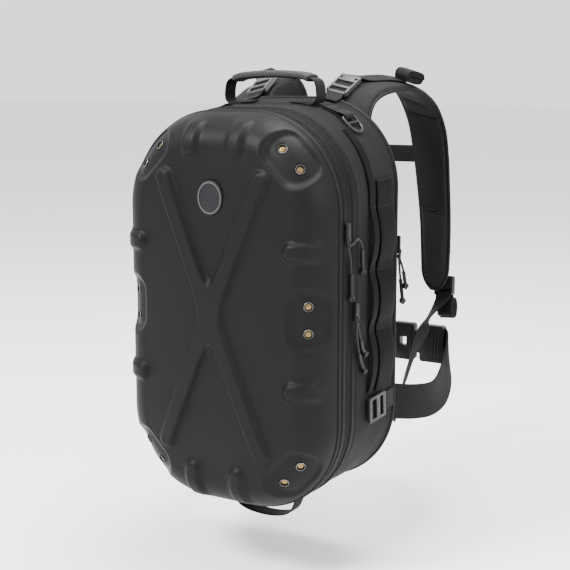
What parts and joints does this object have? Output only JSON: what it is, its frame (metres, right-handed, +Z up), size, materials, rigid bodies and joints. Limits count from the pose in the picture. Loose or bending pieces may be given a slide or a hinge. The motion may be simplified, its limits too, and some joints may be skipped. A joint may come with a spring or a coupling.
{
  "type": "hard shell backpack",
  "caption": "Backpack with a moulded hard front shell, zipped fabric body, padded back and shoulder straps, top handle, side webbing and a buckled waist belt.",
  "frame": {"origin": "centre of the back panel's face, where the wearer's back rests", "axes": "+Z up along the back, +Y from the bag towards the wearer, +X to the wearer's right; the moulded shell faces -Y"},
  "size_m": [0.3384, 0.4735, 0.612],
  "materials": {
    "body_fabric": "heavy black woven nylon",
    "shell": "moulded foam shell with a fine grain, matte charcoal",
    "badge": "plain matte rubber oval, bare",
    "eyelets": "rolled metal eyelet, aged brass with a silvered rim",
    "webbing": "black ribbed nylon webbing",
    "strap_pads": "black padded air mesh with bound edges",
    "buckles": "moulded acetal, charcoal with a soft sheen",
    "grip": "textured moulded rubber grip",
    "rings": "moulded grey ring",
    "sliders": "black painted zip slider",
    "cords": "black braided pull cord"
  },
  "bodies": {
    "root": {"shell_piping": "body_fabric", "front_zip_band": "body_fabric", "rear_zip_band": "body_fabric", "gusset": "body_fabric", "back_piping": "body_fabric", "back_panel": "body_fabric", "front_shell": "shell", "badge": "badge", "eyelet_upper_right_1": "eyelets", "eyelet_upper_right_2": "eyelets", "eyelet_upper_left_1": "eyelets", "eyelet_upper_left_2": "eyelets", "eyelet_middle_right_1": "eyelets", "eyelet_middle_right_2": "eyelets", "eyelet_middle_left_1": "eyelets", "eyelet_middle_left_2": "eyelets", "eyelet_lower_right_1": "eyelets", "eyelet_lower_right_2": "eyelets", "eyelet_lower_left_1": "eyelets", "eyelet_lower_left_2": "eyelets", "side_webbing_right": "webbing", "side_webbing_left": "webbing", "side_strip_right": "webbing", "side_strip_left": "webbing", "glide_tab_right": "webbing", "glide_tab_left": "webbing", "d_ring_loop_right": "webbing", "d_ring_loop_left": "webbing", "handle_webbing": "webbing", "bottom_loop": "webbing", "lifter_webbing_right": "webbing", "lifter_webbing_left": "webbing", "lower_webbing_right": "webbing", "lower_webbing_left": "webbing", "sternum_webbing_right": "webbing", "sternum_webbing_left": "webbing", "waist_belt_right": "webbing", "waist_belt_left": "webbing", "shoulder_strap_right": "strap_pads", "shoulder_strap_left": "strap_pads", "lower_anchor_right": "strap_pads", "lower_anchor_left": "strap_pads", "slide_buckle_right": "buckles", "slide_buckle_left": "buckles", "lifter_buckle_right": "buckles", "lifter_buckle_left": "buckles", "ladder_lock_right": "buckles", "ladder_lock_left": "buckles", "sternum_buckle": "buckles", "belt_clip": "buckles", "belt_socket": "buckles", "handle_grip": "grip", "zip_slider_front": "sliders", "zip_slider_rear": "sliders", "zip_slider_back": "sliders", "zip_cords_front": "cords", "zip_cords_rear": "cords", "zip_cords_back": "cords"},
    "d_ring_right": {"d_ring_right": "rings"},
    "d_ring_left": {"d_ring_left": "rings"}
  },
  "joints": [
    {"name": "d_ring_right_swing", "type": "hinge", "parent": "root", "child": "d_ring_right", "pos_m": [0.10693, -0.06026, 0.23884], "axis": [-0.0813, -0.9935, -0.0796], "range_deg": [0, 150]},
    {"name": "d_ring_left_swing", "type": "hinge", "parent": "root", "child": "d_ring_left", "pos_m": [-0.10693, -0.06026, 0.23884], "axis": [-0.0813, 0.9935, 0.0796], "range_deg": [0, 150]}
  ]
}
